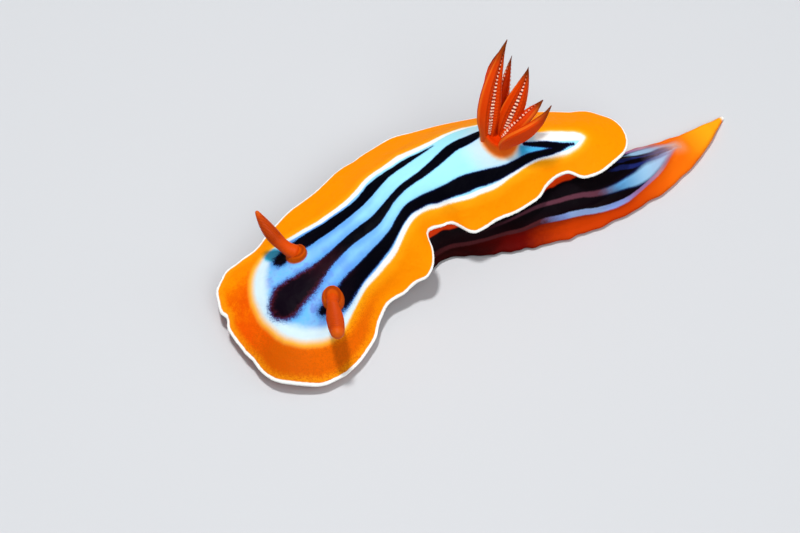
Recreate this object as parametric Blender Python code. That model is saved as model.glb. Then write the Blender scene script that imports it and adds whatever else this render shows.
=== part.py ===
"""A pyjama nudibranch crawling on its foot, as a still model at life size.

Shapes are worked out in millimetres in the animal's own bent frame: s runs from the front of the
mantle to the tip of the tail, u runs sideways with the animal's right at +u, and z is the height
above the ground. The spine bends that frame, and the meshes are written in metres.
"""
import math

import bmesh
import bpy
import numpy as np
from mathutils import Vector

MM = 0.001
GAP = 0.3            # kept between neighbouring pieces

# Spine, seen from above: x and y of points about 5 mm apart, from the head to the tail
SPINE = ((-23.0, -1.2), (-17.8, -0.9), (-12.8, -0.1), (-7.8, 1.0), (-2.8, 2.0),
         (2.2, 1.8), (7.1, 0.4), (12.2, -1.2), (17.9, -2.0), (22.8, -1.6))

# Mantle: s, right and left half-width, height of the crown, height of the right and left rim
MANTLE = ((5.5, 6.2, 6.95, 4.3, 2.6, 1.0),
          (8.0, 6.5, 6.15, 4.9, 3.0, 1.1),
          (10.5, 6.9, 4.8, 5.4, 3.4, 1.3),
          (13.0, 6.8, 4.6, 6.0, 3.6, 1.9),
          (16.0, 6.9, 5.2, 6.7, 3.9, 3.2),
          (19.5, 6.4, 5.2, 7.2, 4.2, 3.7),
          (23.0, 5.5, 5.1, 7.5, 4.4, 3.8),
          (26.5, 4.6, 4.9, 7.4, 4.6, 4.0),
          (30.0, 4.0, 4.0, 6.9, 4.8, 4.5),
          (33.0, 3.2, 3.5, 6.1, 4.9, 4.8))
FRONT_FAN = 5.5      # s where the round front of the mantle begins
FRONT_REACH = 5.3    # how far the front reaches ahead of that
FRONT_SQUARE = 3.0   # superellipse exponent of the front
FRONT_RIM = 1.4
REAR_FAN = 33.0
REAR_REACH = 4.0
REAR_SQUARE = 2.1
REAR_RIM = 4.8
# Folds of the rim: side, s of the middle, half-length, how far it pulls in, how far it lifts
FOLDS = ((-1, 18.3, 1.9, 2.3, 0.6),
         (-1, 30.9, 1.3, 1.0, 0.3),
         (1, 6.4, 1.6, 0.25, -0.1),
         (1, 14.3, 1.2, 0.2, 0.25),
         (1, 22.3, 1.6, 0.2, 0.3),
         (-1, 11.8, 1.0, 0.25, 0.15),
         (-1, 24.6, 1.2, 0.15, -0.25))
CROWN_THICKNESS = 1.6
RIM_THICKNESS = 0.6
DOME = 1.3           # exponent of the arch from crown to rim

FRONT_CUT = 13.0     # s where the mantle is parted into front, middle and rear
REAR_CUT = 24.6
BODY_CUT = 19.0
FOOT_CUTS = (14.0, 25.0)

# Foot: s, middle line, half-width
FOOT = ((3.5, 0.0, 1.5),
        (4.3, 0.0, 2.6),
        (7.0, -0.2, 3.1),
        (14.0, -0.4, 3.2),
        (19.0, -0.7, 3.2),
        (21.5, -1.6, 3.5),
        (25.0, -2.3, 3.7),
        (29.0, -2.4, 3.7),
        (33.0, -2.1, 3.5),
        (37.2, -1.5, 2.75),
        (39.0, -1.3, 2.4),
        (41.0, -0.95, 1.85),
        (43.0, -0.6, 1.3),
        (45.0, -0.25, 0.7),
        (46.6, 0.0, 0.15))
FOOT_START = 3.5
FOOT_HEIGHT = 1.1
SOLE_RIM = 0.6
FOOT_PAD = 0.78      # share of the foot that carries the body
BODY_SHARE = 0.7     # half-width of the body against the foot's
BODY_START = 5.3
TAIL_CUT = 36.2
TAIL_TIP = 46.6
# Back of the body where it comes out from under the mantle: s, height
DORSAL = ((31.0, 6.0), (33.5, 4.3), (36.2, 3.0), (38.7, 2.3), (41.0, 1.7), (44.0, 1.05), (46.6, 0.55))

# Head, under the front of the mantle
HEAD_START = 1.5
HEAD_END = 5.0
HEAD_HALF_WIDTH = 2.0
HEAD_LOW = 0.35
LIP_REACH = 0.25
ORAL_LENGTH = 1.7
ORAL_RADIUS = 0.38

# Rhinophores: side, foot of the stalk (s, u), lean (x, y, z) over its length
RHINOPHORES = (("right", 1, (7.9, 2.5), (-1.83, 3.27, 3.0)),
               ("left", -1, (7.6, -2.4), (-2.28, -4.03, 1.27)))
RHINOPHORE_LENGTH = 4.6
SHEATH_OUTER = 1.1
SHEATH_INNER = 0.75
SHEATH_HEIGHT = 0.8
STALK_RADIUS = 0.45
CLUB_RADIUS = 0.62
CLUB_RINGS = 7

# Gills: middle of the ring on the back, and the leaves that stand in it
GILL_S = 26.4
GILL_U = -0.1
GILL_RING = 1.3
COLLAR_OUTER = 2.2
COLLAR_INNER = 1.85
COLLAR_HEIGHT = 0.55
# Leaf: angle of its root, tip (right, away, up), bow of its middle (right, away, up), half-width, facing angle
AWAY = (0.515, 0.857)
LEAVES = ((176, (0.55, 4.2, 7.4), (-0.5, -0.1, 0.2), 0.92, -60),
          (140, (-0.05, 5.6, 4.0), (-0.65, 0.6, -0.2), 0.48, -65),
          (97, (0.95, 4.7, 4.7), (-0.05, 0.4, 0.05), 0.45, -90),
          (58, (2.25, 2.9, 5.6), (0.25, 0.0, 0.35), 0.7, -95),
          (14, (2.35, 2.05, 1.3), (0.4, 0.05, -0.15), 0.31, 170),
          (-30, (3.4, 1.4, 3.2), (0.15, 0.0, 0.05), 0.62, 195),
          (-82, (4.05, 0.1, 4.2), (0.1, -1.05, -0.4), 0.58, 130))
LEAF_THICKNESS = 0.5
LEAF_ROOT = 0.28      # half-width at the root
LEAF_BELLY = 0.78     # less puts the widest place lower
LAMELLA_PITCH = 0.95
LAMELLA_SHARE = 0.55  # of the pitch that is lamella, the rest is the cleft to the next one

ORANGE = (0.93, 0.36, 0.02, 1)
FEELER = (0.62, 0.1, 0.01, 1)
SIDE = (0.05, 0.03, 0.06, 1)


def curve(knots, values):
    """A smooth function through values at knots, with tangents from the neighbours."""
    knots = np.array(knots, float)
    values = np.array(values, float)
    tangents = np.gradient(values, knots, axis=0)

    def at(x):
        i = int(np.clip(np.searchsorted(knots, x) - 1, 0, len(knots) - 2))
        width = knots[i + 1] - knots[i]
        t = float(np.clip((x - knots[i]) / width, 0, 1))
        a = (1 + 2 * t) * (1 - t) ** 2
        b = t * (1 - t) ** 2
        c = t * t * (3 - 2 * t)
        d = t * t * (t - 1)
        return a * values[i] + b * width * tangents[i] + c * values[i + 1] + d * width * tangents[i + 1]
    return at


def columns(table):
    """Split rows of numbers into a list of smooth functions of their first number."""
    rows = np.array(table, float)
    return [curve(rows[:, 0], rows[:, i]) for i in range(1, rows.shape[1])]


spine_steps = np.linalg.norm(np.diff(np.array(SPINE), axis=0), axis=1)
spine_at = curve(np.concatenate([[0], np.cumsum(spine_steps)]), SPINE)
SPINE_LENGTH = float(spine_steps.sum())
right_half, left_half, crown_at, right_rim, left_rim = columns(MANTLE)
foot_middle_line, foot_half = columns(FOOT)
dorsal_at = columns(DORSAL)[0]


def place(s, u, z):
    """The world point, in millimetres, of a point of the bent frame."""
    inside = min(max(s, 0.05), SPINE_LENGTH - 0.05)
    ahead = spine_at(inside + 0.05)
    behind = spine_at(inside - 0.05)
    along = (ahead - behind) / np.linalg.norm(ahead - behind)
    x, y = (ahead + behind) / 2 + along * (s - inside) + np.array([-along[1], along[0]]) * u
    return Vector((x, y, z))


def fold(side, s):
    """How far the rim pulls in and lifts at s."""
    pull = 0.0
    lift = 0.0
    for fold_side, middle, half_length, pull_in, lift_up in FOLDS:
        if fold_side == side:
            share = math.exp(-abs((s - middle) / half_length) ** 3)
            pull += share * pull_in
            lift += share * lift_up
    return pull, lift


def half_width(side, s):
    return (right_half if side > 0 else left_half)(s) - fold(side, s)[0]


def rim_height(side, s):
    return (right_rim if side > 0 else left_rim)(s) + fold(side, s)[1]


def arch(rim, crown, r):
    return rim + (crown - rim) * math.cos(math.pi / 2 * min(r, 1)) ** DOME


def thickness(r):
    return CROWN_THICKNESS + (RIM_THICKNESS - CROWN_THICKNESS) * r


def fan(s):
    """The centre, reach, exponent and end height of the fan that holds s, or None between them."""
    if s < FRONT_FAN:
        return FRONT_FAN, FRONT_REACH, FRONT_SQUARE, FRONT_RIM
    if s > REAR_FAN:
        return REAR_FAN, REAR_REACH, REAR_SQUARE, REAR_RIM
    return None


def mantle_top(s, u):
    """Share of the way to the rim, and height of the mantle's upper face, over a point of the plan."""
    side = 1 if u >= 0 else -1
    end = fan(s)
    if end is None:
        r = abs(u) / half_width(side, s)
        return r, arch(rim_height(side, s), crown_at(s), r)
    centre, reach, power, end_rim = end
    across = abs(u) / half_width(side, centre)
    along = abs(s - centre) / reach
    r = (across ** power + along ** power) ** (1 / power)
    sideways = across / r if r else 0.0
    rim = end_rim + (rim_height(side, centre) - end_rim) * sideways ** 2
    return r, arch(rim, crown_at(centre), r)


def mantle_bottom(s, u):
    r, top = mantle_top(s, u)
    return top - thickness(r)


def rim_point(side, s):
    return s, side * half_width(side, s)


def fan_rim(centre, reach, power, turn):
    """A point of the rim of an end fan: turn runs from 0 at the left side to 1 at the right side."""
    angle = math.pi * turn
    side = 1 if turn > 0.5 else -1
    across = abs(math.cos(angle)) ** (2 / power)
    along = math.sin(angle) ** (2 / power)
    direction = -1 if centre == FRONT_FAN else 1
    return centre + direction * reach * along, side * half_width(side, centre) * across


class Mesh:
    """Points and triangles of one piece, where equal points are one."""

    def __init__(self):
        self.points = []
        self.index = {}
        self.faces = []

    def point(self, p):
        key = tuple(round(c, 4) for c in p)
        if key not in self.index:
            self.index[key] = len(self.points)
            self.points.append(Vector(p))
        return self.index[key]

    def face(self, *corners):
        ring = []
        for corner in corners:
            if corner not in ring:
                ring.append(corner)
        if len(ring) > 2:
            self.faces.append(ring)

    def quad(self, a, b, c, d):
        self.face(a, b, c)
        self.face(a, c, d)

    def build(self, name, colour, roughness=0.35):
        mesh = bpy.data.meshes.new(name)
        bm = bmesh.new()
        verts = [bm.verts.new(p * MM) for p in self.points]
        for ring in self.faces:
            bm.faces.new([verts[i] for i in ring])
        bmesh.ops.triangulate(bm, faces=[f for f in bm.faces if len(f.verts) > 3])
        bmesh.ops.recalc_face_normals(bm, faces=bm.faces[:])
        if bm.calc_volume(signed=True) < 0:
            bmesh.ops.reverse_faces(bm, faces=bm.faces[:])
        bm.to_mesh(mesh)
        bm.free()
        mesh.shade_smooth()
        mesh.set_sharp_from_angle(angle=math.radians(50))
        piece = bpy.data.objects.new(name, mesh)
        bpy.context.collection.objects.link(piece)
        mesh.materials.append(skin(name, colour, roughness))
        return piece


def skin(name, colour, roughness):
    material = bpy.data.materials.new(name)
    material.use_nodes = True
    shader = material.node_tree.nodes["Principled BSDF"]
    shader.inputs["Base Color"].default_value = colour
    shader.inputs["Roughness"].default_value = roughness
    shader.inputs["Metallic"].default_value = 0.0
    return material


def slab(upper, lower, name, colour):
    """A closed solid between two sheets of the same rows and columns."""
    mesh = Mesh()
    sheets = [[[mesh.point(p) for p in column] for column in sheet] for sheet in (upper, lower)]
    across = len(upper)
    along = len(upper[0])
    edges = {}
    for i in range(across - 1):
        for j in range(along - 1):
            corners = ((i, j), (i + 1, j), (i + 1, j + 1), (i, j + 1))
            for sheet in sheets:
                mesh.quad(*[sheet[a][b] for a, b in corners])
            for start, end in zip(corners, corners[1:] + corners[:1]):
                top = (sheets[0][start[0]][start[1]], sheets[0][end[0]][end[1]])
                low = (sheets[1][start[0]][start[1]], sheets[1][end[0]][end[1]])
                if top[0] != top[1]:
                    edges.setdefault(frozenset(top), []).append((top, low))
    for uses in edges.values():
        if len(uses) == 1:
            (a, b), (c, d) = uses[0]
            mesh.quad(a, b, d, c)
    return mesh.build(name, colour)


def loft(rings, name, colour, **finish):
    """A closed solid through rings of equal length. A ring of one point is a tip."""
    mesh = Mesh()
    indexed = [[mesh.point(p) for p in ring] for ring in rings]
    sides = max(len(ring) for ring in indexed)
    for first, second in zip(indexed, indexed[1:]):
        for i in range(sides):
            j = (i + 1) % sides
            corners = [first[i % len(first)], first[j % len(first)], second[j % len(second)], second[i % len(second)]]
            mesh.quad(*corners)
    for end in (indexed[0], indexed[-1]):
        mesh.face(*end)
    return mesh.build(name, colour, **finish)


def steps(start, end, size):
    count = max(1, round(abs(end - start) / size))
    return [start + (end - start) * i / count for i in range(count + 1)]


ROWS = (0.0, 0.2, 0.4, 0.6, 0.76, 0.9, 1.0)


def mantle_column(ridge_s, rim):
    upper = []
    lower = []
    for r in ROWS:
        s = ridge_s + (rim[0] - ridge_s) * r
        u = rim[1] * r
        reach, top = mantle_top(s, u)
        upper.append(place(s, u, top))
        lower.append(place(s, u, top - thickness(reach)))
    return upper, lower


def mantle_piece(name, start, end, step):
    """A length of the mantle. A start or end of None is the round front or rear."""
    first = FRONT_FAN if start is None else start + GAP / 2
    last = REAR_FAN if end is None else end - GAP / 2
    stations = steps(first, last, step)
    left = [(s, rim_point(-1, s)) for s in stations]
    right = [(s, rim_point(1, s)) for s in stations]
    if start is None:
        turn = [(FRONT_FAN, fan_rim(FRONT_FAN, FRONT_REACH, FRONT_SQUARE, t)) for t in steps(0, 1, 1 / 14)[1:-1]]
        outline = left[::-1] + turn + right
    elif end is None:
        turn = [(REAR_FAN, fan_rim(REAR_FAN, REAR_REACH, REAR_SQUARE, t)) for t in steps(0, 1, 1 / 12)[1:-1]]
        outline = left + turn + right[::-1]
    else:
        halves = [[mantle_column(*column) for column in side] for side in (left, right)]
        upper = [a[0][::-1] + b[0][1:] for a, b in zip(*halves)]
        lower = [a[1][::-1] + b[1][1:] for a, b in zip(*halves)]
        return slab(upper, lower, name, ORANGE)
    sheets = [mantle_column(*column) for column in outline]
    return slab([s[0] for s in sheets], [s[1] for s in sheets], name, ORANGE)


def foot_top(share):
    """Height of the foot's upper face at a share of its half-width."""
    if share <= FOOT_PAD:
        return FOOT_HEIGHT
    return FOOT_HEIGHT + (SOLE_RIM - FOOT_HEIGHT) * (share - FOOT_PAD) / (1 - FOOT_PAD)


def foot_piece(name, start, end):
    shares = (-1, -0.9, -FOOT_PAD, -0.4, 0, 0.4, FOOT_PAD, 0.9, 1)
    upper = []
    lower = []
    for s in steps(start, end, 1.2):
        middle, half = foot_middle_line(s), foot_half(s)
        upper.append([place(s, middle + half * k, foot_top(abs(k))) for k in shares])
        lower.append([place(s, middle + half * k, 0) for k in shares])
    return slab(upper, lower, name, FEELER)


def body_piece(name, start, end):
    """A length of the body wall, from the foot up to the underside of the mantle."""
    shares = (-1, -0.66, -0.33, 0, 0.33, 0.66, 1)
    rings = []
    for s in steps(start, end, 1.3):
        middle, half = foot_middle_line(s), foot_half(s) * BODY_SHARE
        low = FOOT_HEIGHT + GAP
        ring = []
        for k in shares:
            u = middle + half * k
            top = mantle_bottom(s, u) - GAP * 1.2
            if s > DORSAL[0][0]:
                top = min(top, low + (dorsal_at(s) - low) * math.cos(math.pi / 2 * k * 0.75))
            ring.append((s, u, top))
        right_top = ring[-1][2]
        left_top = ring[0][2]
        ring.append((s, middle + half * 1.07, (right_top + low) / 2))
        ring += [(s, middle + half * k, low) for k in (1, 0.5, 0, -0.5, -1)]
        ring.append((s, middle - half * 1.07, (left_top + low) / 2))
        rings.append([place(*p) for p in ring])
    return loft(rings, name, SIDE)


def tail():
    rings = []
    for s in steps(TAIL_CUT, TAIL_TIP, 0.9):
        middle, half, crest = foot_middle_line(s), foot_half(s), dorsal_at(s)
        rim = min(SOLE_RIM, crest * 0.9)
        shoulder = rim + 0.12
        profile = [(1, 0), (1, rim), (0.72, shoulder)]
        profile += [(k, shoulder + (crest - shoulder) * math.cos(math.pi / 2 * k / 0.72)) for k in (0.5, 0.25, 0)]
        profile += [(-k, z) for k, z in profile[4::-1]]
        profile += [(k, 0) for k in (-0.5, 0, 0.5)]
        rings.append([place(s, middle + half * k, z) for k, z in profile])
    return loft(rings, "tail", FEELER)


def head():
    """The head, with its lips and mouth, which hangs from the front of the mantle to the ground."""
    rings = []
    for s in steps(HEAD_START, HEAD_END, 0.5):
        along = (s - HEAD_START) / (HEAD_END - HEAD_START)
        half = HEAD_HALF_WIDTH * (0.55 + 0.45 * math.sin(math.pi / 2 * along))
        low = HEAD_LOW if s < FOOT_START - GAP - 0.25 else FOOT_HEIGHT + GAP
        ring = []
        for k in (-1, -0.6, 0, 0.6, 1):
            u = half * k
            drop = 0.25 * k * k
            ring.append((s, u, max(low + 0.35, mantle_bottom(s, u) - GAP - drop)))
        ring.append((s, half * 1.1, (ring[-1][2] + low) / 2))
        ring += [(s, half * k, low) for k in (0.7, 0, -0.7)]
        ring.append((s, -half * 1.1, (ring[0][2] + low) / 2))
        rings.append(ring)
    front = rings[0]
    mid_z = sum(p[2] for p in front) / len(front)
    lips = [(HEAD_START - LIP_REACH, p[1] * 0.72, mid_z + (p[2] - mid_z) * 0.75) for p in front]
    mouth = [(HEAD_START - LIP_REACH * 0.9, p[1] * 0.5, mid_z + (p[2] - mid_z) * 0.3) for p in front]
    throat = [(HEAD_START + 0.2, p[1] * 0.42, mid_z + (p[2] - mid_z) * 0.1) for p in front]
    return loft([[place(*p) for p in ring] for ring in [throat, mouth, lips] + rings], "head", SIDE)


def tube(centres, radii, sides, name, colour, **finish):
    """A round solid along a path, with an end point of radius nought as its tip."""
    rings = []
    path = [Vector(c) for c in centres]
    for i, (centre, radius) in enumerate(zip(path, radii)):
        along = (path[min(i + 1, len(path) - 1)] - path[max(i - 1, 0)]).normalized()
        across = along.cross(Vector((0, 0, 1))).normalized()
        over = across.cross(along)
        if radius == 0:
            rings.append([centre])
            continue
        turns = [2 * math.pi * j / sides for j in range(sides)]
        rings.append([centre + (across * math.cos(a) + over * math.sin(a)) * radius for a in turns])
    return loft(rings, name, colour, **finish)


def oral_tentacle(name, side):
    start = place(2.3, side * 1.95, 0.72)
    end = place(1.7, side * (1.95 + ORAL_LENGTH), 0.62)
    centres = [start.lerp(end, t) for t in (0, 0.35, 0.7, 0.92, 1)]
    radii = [ORAL_RADIUS * k for k in (1, 0.9, 0.75, 0.45, 0)]
    return tube(centres, radii, 10, name, FEELER)


def collar(name, s0, u0, inner, outer, height, colour, sides=16):
    """A raised ring whose underside follows the mantle."""
    crest = (inner + outer) / 2
    section = ((outer, GAP), (outer, height * 0.6), (crest, height), (inner, height * 0.8), (inner, GAP))
    mesh = Mesh()
    rings = []
    for i in range(sides):
        angle = 2 * math.pi * i / sides
        ring = []
        for radius, lift in section:
            s = s0 + radius * math.cos(angle)
            u = u0 + radius * math.sin(angle)
            ring.append(mesh.point(place(s, u, mantle_top(s, u)[1] + lift)))
        rings.append(ring)
    for i, ring in enumerate(rings):
        following = rings[(i + 1) % sides]
        for j in range(len(section)):
            k = (j + 1) % len(section)
            mesh.quad(ring[j], ring[k], following[k], following[j])
    return mesh.build(name, colour)


def rhinophore(name, s0, u0, lean):
    """A stalk that leans out of its sheath, with a club of stacked leaves."""
    foot = place(s0, u0, mantle_top(s0, u0)[1] + GAP * 1.4)
    direction = Vector(lean).normalized()
    up = Vector((0, 0, 1))
    bend = foot + up * (SHEATH_HEIGHT + 0.3)
    tip = foot + direction * RHINOPHORE_LENGTH + up * 0.4

    def centre(t):
        return foot * (1 - t) ** 2 + bend * (2 * t * (1 - t)) + tip * t * t

    stalk = ((0.0, 1.0), (0.12, 0.95), (0.25, 0.86), (0.38, 0.84))
    places = [t for t, _ in stalk]
    radii = [STALK_RADIUS * k for _, k in stalk]
    for i in range(CLUB_RINGS):
        low = 0.44 + 0.48 * i / CLUB_RINGS
        swell = CLUB_RADIUS * (0.72 + 0.28 * math.sin(math.pi * (i + 0.7) / CLUB_RINGS))
        if i > CLUB_RINGS - 3:
            swell *= 0.88 if i == CLUB_RINGS - 2 else 0.72
        places += [low, low + 0.034]
        radii += [swell, swell * 0.84]
    places += [0.965, 1.0]
    radii += [CLUB_RADIUS * 0.38, 0]
    return tube([centre(t) for t in places], radii, 12, name, FEELER)


def ground(right, away):
    """A sideways and outward step seen from the front left, as a world vector."""
    return Vector((AWAY[1] * right + AWAY[0] * away, -AWAY[0] * right + AWAY[1] * away, 0))


def gill_leaf(name, root_angle, tip, bow, half, facing):
    """A lance-shaped leaf, hollowed towards the side that it faces."""
    middle = place(GILL_S, GILL_U, mantle_top(GILL_S, GILL_U)[1] + GAP)
    angle = math.radians(root_angle)
    root = middle + ground(GILL_RING * math.cos(angle), GILL_RING * math.sin(angle))
    end = middle + ground(tip[0], tip[1]) + Vector((0, 0, tip[2]))
    rise = root + Vector((0, 0, 0.22 * (end - root).length))
    bulge = root.lerp(end, 0.6) + (ground(bow[0], bow[1]) + Vector((0, 0, bow[2]))) * 1.8
    towards = ground(math.cos(math.radians(facing)), math.sin(math.radians(facing)))

    def centre(t):
        v = 1 - t
        return root * v ** 3 + rise * (3 * v * v * t) + bulge * (3 * v * t * t) + end * t ** 3

    length = sum((centre(t + 0.1) - centre(t)).length for t in steps(0, 0.9, 0.1))
    lamellae = max(3, round(length * 0.72 / LAMELLA_PITCH))
    pitch = 0.72 / lamellae
    stations = [(0.0, False), (0.07, False)]
    for i in range(lamellae):
        low = 0.14 + pitch * i
        stations += [(low, True), (low + pitch * LAMELLA_SHARE, True), (low + pitch * (1 + LAMELLA_SHARE) / 2, False)]
    stations.append((0.95, False))
    rings = []
    for t, lamella in stations:
        along = (centre(t + 0.02) - centre(t - 0.02)).normalized()
        inward = (towards - along * towards.dot(along)).normalized()
        across = along.cross(inward)
        width = max(LEAF_ROOT * min(1, 2.5 - 2.5 * t), half * math.sin(math.pi * t ** LEAF_BELLY) ** 1.15)
        depth = LEAF_THICKNESS / 2 * min(1, 4.2 - 4 * t)
        cheek = depth + 0.34 * width
        groove = cheek * 0.92 if lamella else depth * 0.4
        section = ((-1, 0.1 * width), (-0.6, cheek), (-0.24, groove), (0.24, groove), (0.6, cheek), (1, 0.1 * width),
                   (0.55, -depth * 0.9), (0, -depth * 1.15), (-0.55, -depth * 0.9))
        rings.append([centre(t) + across * width * k + inward * lift for k, lift in section])
    rings.append([centre(1.0)])
    return loft(rings, name, FEELER)


def clear_scene():
    for piece in list(bpy.data.objects):
        bpy.data.objects.remove(piece, do_unlink=True)


def main():
    clear_scene()
    mantle_piece("mantle_front", None, FRONT_CUT, 1.25)
    mantle_piece("mantle_middle", FRONT_CUT, REAR_CUT, 0.65)
    mantle_piece("mantle_rear", REAR_CUT, None, 1.2)
    head()
    for name, side, base, lean in RHINOPHORES:
        oral_tentacle("oral_tentacle_" + name, side)
        collar("rhinophore_sheath_" + name, *base, SHEATH_INNER, SHEATH_OUTER, SHEATH_HEIGHT, ORANGE)
        rhinophore("rhinophore_" + name, *base, lean)
    body_piece("body_front", BODY_START, BODY_CUT - GAP / 2)
    body_piece("body_rear", BODY_CUT + GAP / 2, TAIL_CUT - GAP)
    foot_piece("foot_front", FOOT_START, FOOT_CUTS[0] - GAP / 2)
    foot_piece("foot_middle", FOOT_CUTS[0] + GAP / 2, FOOT_CUTS[1] - GAP / 2)
    foot_piece("foot_rear", FOOT_CUTS[1] + GAP / 2, TAIL_CUT - GAP)
    tail()
    collar("gill_collar", GILL_S, GILL_U, COLLAR_INNER, COLLAR_OUTER, COLLAR_HEIGHT, ORANGE, 20)
    for number, leaf in enumerate(LEAVES, 1):
        gill_leaf(f"gill_leaf_{number}", *leaf)


main()
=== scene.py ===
"""The looks of a pyjama nudibranch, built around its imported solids.

Shapes are worked out in millimetres in the animal's own bent frame, as in the solids: s runs from
the front of the mantle to the tip of the tail, u runs sideways with the animal's right at +u, and
z is the height above the ground. One skin covers mantle, head, body, foot and tail.
"""
import functools
import math

import bmesh
import bpy
import numpy as np
from mathutils import Matrix, Vector, noise

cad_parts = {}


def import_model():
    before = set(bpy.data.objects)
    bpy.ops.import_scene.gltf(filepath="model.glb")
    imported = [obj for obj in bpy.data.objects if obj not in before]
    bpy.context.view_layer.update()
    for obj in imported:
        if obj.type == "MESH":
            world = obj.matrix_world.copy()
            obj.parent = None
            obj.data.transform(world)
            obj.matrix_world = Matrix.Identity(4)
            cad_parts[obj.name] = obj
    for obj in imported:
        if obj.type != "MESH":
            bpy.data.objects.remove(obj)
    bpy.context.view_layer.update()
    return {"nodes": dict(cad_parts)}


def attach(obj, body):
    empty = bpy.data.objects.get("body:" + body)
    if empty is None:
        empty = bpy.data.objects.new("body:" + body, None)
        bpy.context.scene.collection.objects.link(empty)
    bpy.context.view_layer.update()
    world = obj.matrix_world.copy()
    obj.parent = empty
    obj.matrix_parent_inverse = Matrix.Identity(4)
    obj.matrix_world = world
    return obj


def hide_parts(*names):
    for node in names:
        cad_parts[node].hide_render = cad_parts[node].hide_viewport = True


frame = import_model()

MM = 0.001
GAP = 0.3             # gill leaves are measured from this far above the mantle, feelers from 1.4 times it

# Shapes of the solids, in millimetres
SPINE = (
    (-23, -1.2), (-17.8, -0.9), (-12.8, -0.1), (-7.8, 1), (-2.8, 2), (2.2, 1.8), (7.1, 0.4), (12.2, -1.2),
    (17.9, -2), (22.8, -1.6))
# Mantle: s, right and left half-width, height of the crown, height of the right and left rim
MANTLE = ((5.5, 6.2, 6.95, 4.3, 2.6, 1),
          (8, 6.5, 6.15, 4.9, 3, 1.1),
          (10.5, 6.9, 4.8, 5.4, 3.4, 1.3),
          (13, 6.8, 4.6, 6, 3.6, 1.9),
          (16, 6.9, 5.2, 6.7, 3.9, 3.2),
          (19.5, 6.4, 5.2, 7.2, 4.2, 3.7),
          (23, 5.5, 5.1, 7.5, 4.4, 3.8),
          (26.5, 4.6, 4.9, 7.4, 4.6, 4),
          (30, 4, 4, 6.9, 4.8, 4.5),
          (33, 3.2, 3.5, 6.1, 4.9, 4.8))
FRONT_FAN, FRONT_REACH, FRONT_SQUARE, FRONT_RIM = 5.5, 5.3, 3.0, 1.4
REAR_FAN, REAR_REACH, REAR_SQUARE, REAR_RIM = 33.0, 4.0, 2.1, 4.8
# Folds of the rim: side, s of the middle, half-length, how far it pulls in, how far it lifts
FOLDS = ((-1, 18.3, 1.9, 2.3, 0.6),
         (-1, 30.9, 1.3, 1, 0.3),
         (1, 6.4, 1.6, 0.25, -0.1),
         (1, 14.3, 1.2, 0.2, 0.25),
         (1, 22.3, 1.6, 0.2, 0.3),
         (-1, 11.8, 1, 0.25, 0.15),
         (-1, 24.6, 1.2, 0.15, -0.25))
CROWN_THICKNESS = 1.6
RIM_THICKNESS = 0.6
RIM_ROUNDING = 0.15
EDGE_SHARE = 0.45     # how thin the living rim is beside the solid's, over its last stretch
EDGE_TAPER = 1.4      # length of that stretch
DOME = 1.3            # how full the crown's arch is
RIM_OVERHANG = 0.55   # how far the rim stands out over the flank
# Foot: s, middle line, half-width
FOOT = (
    (3.5, 0, 1.5), (4.3, 0, 2.6), (7, -0.2, 3.1), (14, -0.4, 3.2), (19, -0.7, 3.2), (21.5, -1.6, 3.5),
    (25, -2.3, 3.7), (29, -2.4, 3.7), (33, -2.1, 3.5), (37.2, -1.5, 2.75), (39, -1.3, 2.4),
    (41, -0.95, 1.85), (43, -0.63, 1.27), (45, -0.29, 0.62), (46.75, 0.14, 0.14))
FOOT_START = 3.5
SOLE_RIM = 0.6        # thickness of the foot's margin
TAIL_TIP = 46.75
# Height of the tail's back: s, height
DORSAL = ((31, 6), (33.5, 4.3), (36.2, 3), (38.7, 2.3), (41, 1.7), (44, 1.05), (46.75, 0.55))
# Feelers: side, s and u of the foot, direction in the world
RHINOPHORES = (("right", (7.9, 2.5), (-1.83, 3.27, 3)),
               ("left", (7.6, -2.4), (-2.28, -4.03, 1.27)))
SHEATH_RADIUS = 0.84    # the living sheath's, a little under the solid's
# Radius of each feeler at shares of its length: the right one is pointed, the left one blunt
FEELER_SHARES = (-0.08, 0, 0.12, 0.25, 0.36, 0.46, 0.58, 0.72, 0.84, 0.92, 0.97, 0.995, 1)
FEELER_RADII = {"right": (0.3, 0.58, 0.6, 0.53, 0.52, 0.57, 0.6, 0.54, 0.42, 0.29, 0.18, 0.08, 0.01),
                "left": (0.25, 0.48, 0.56, 0.5, 0.46, 0.47, 0.56, 0.69, 0.68, 0.6, 0.45, 0.18, 0.01)}
FEELER_LENGTHS = {"right": 4.6, "left": 4.95}
# How far each living feeler's middle and tip lie from a plain curve
FEELER_BENDS = {"right": (-0.35, -0.2, -0.28), "left": (-0.17, 0.1, 0)}
FEELER_TIPS = {"right": (0, 0, 0.4), "left": (0.4, -0.24, 0.2)}
GILL_S = 26.4
GILL_U = -0.1
GILL_RING = 1.3
COLLAR_OUTER = 2.2
AWAY = (0.515, 0.857)  # direction on the ground away from the photo's camera
# Gill leaves: angle of the root on the ring, share of the ring's radius there, tip, bow of the middle,
# greatest half-width, and the way the hollow side faces. Directions: right and away in the photo, up
LEAVES = ((176, 0.8, (0.55, 4.2, 7.4), (-0.5, -0.1, 0.2), 1.12, -60),
          (140, 0.8, (-0.05, 5.6, 4), (-0.65, 0.6, -0.2), 0.5, -65),
          (97, 0.7, (0.95, 4.7, 4.7), (-0.05, 0.4, 0.05), 0.5, -90),
          (58, 0.4, (2.25, 2.9, 5.6), (0.25, 0, 0.35), 0.92, -95),
          (14, 0.4, (2.35, 2.05, 1.3), (0.4, 0.05, -0.15), 0.36, 170),
          (-30, 0.35, (3.4, 1.4, 3.2), (0.15, 0, 0.05), 0.8, 195),
          (-68, 0.75, (4.05, 0.1, 4.2), (0, -0.8, -0.15), 0.85, 108))
LEAF_THICKNESS = 0.5
LEAF_ROOT = 0.6       # half-width of a leaf at the root
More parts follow.
